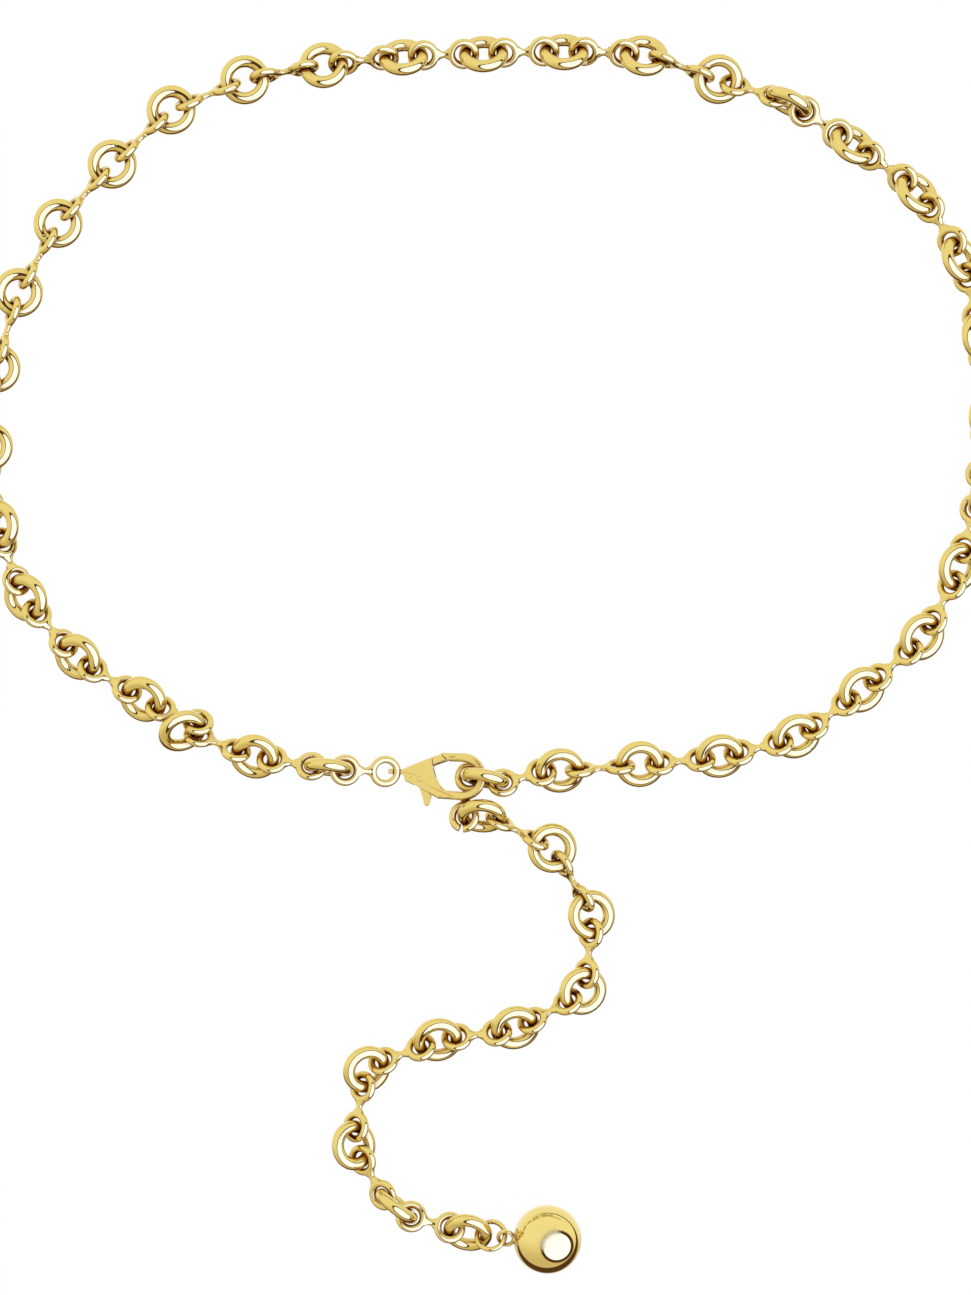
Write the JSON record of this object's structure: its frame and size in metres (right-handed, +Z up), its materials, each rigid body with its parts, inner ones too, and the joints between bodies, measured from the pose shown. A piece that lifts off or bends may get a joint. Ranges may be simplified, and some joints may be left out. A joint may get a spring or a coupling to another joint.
{
  "type": "waist chain",
  "caption": "Waist chain of thick round rings and soldered two-loop connectors, with a lobster clasp and a ball-ended tail.",
  "frame": {"origin": "middle of the outer box of the laid-out chain, on the surface that it lies on", "axes": "+Z up from the surface, +Y away from the free tail, +X to the right seen from above with the tail towards the viewer"},
  "size_m": [0.2922, 0.347, 0.0189],
  "materials": {
    "gold_links": "polished gold-plated metal",
    "gold_clasp": "polished gold-plated metal",
    "gold_ball": "mirror-polished gold-plated metal"
  },
  "bodies": {
    "chain": {"waist_rings": "gold_links", "waist_connectors": "gold_links", "tail_rings": "gold_links", "tail_connectors": "gold_links", "open_connector": "gold_links", "jump_ring": "gold_links", "ball": "gold_ball", "clasp_body": "gold_clasp", "clasp_pin": "gold_clasp"},
    "lever": {"clasp_lever": "gold_clasp"}
  },
  "joints": [
    {"name": "lever_hinge", "type": "hinge", "parent": "chain", "child": "lever", "pos_m": [-0.01801, -0.03512, 0.00403], "axis": [0.201, -0.014, -0.9795], "range_deg": [0, 28], "stiffness_Nm_per_rad": 0.005}
  ]
}
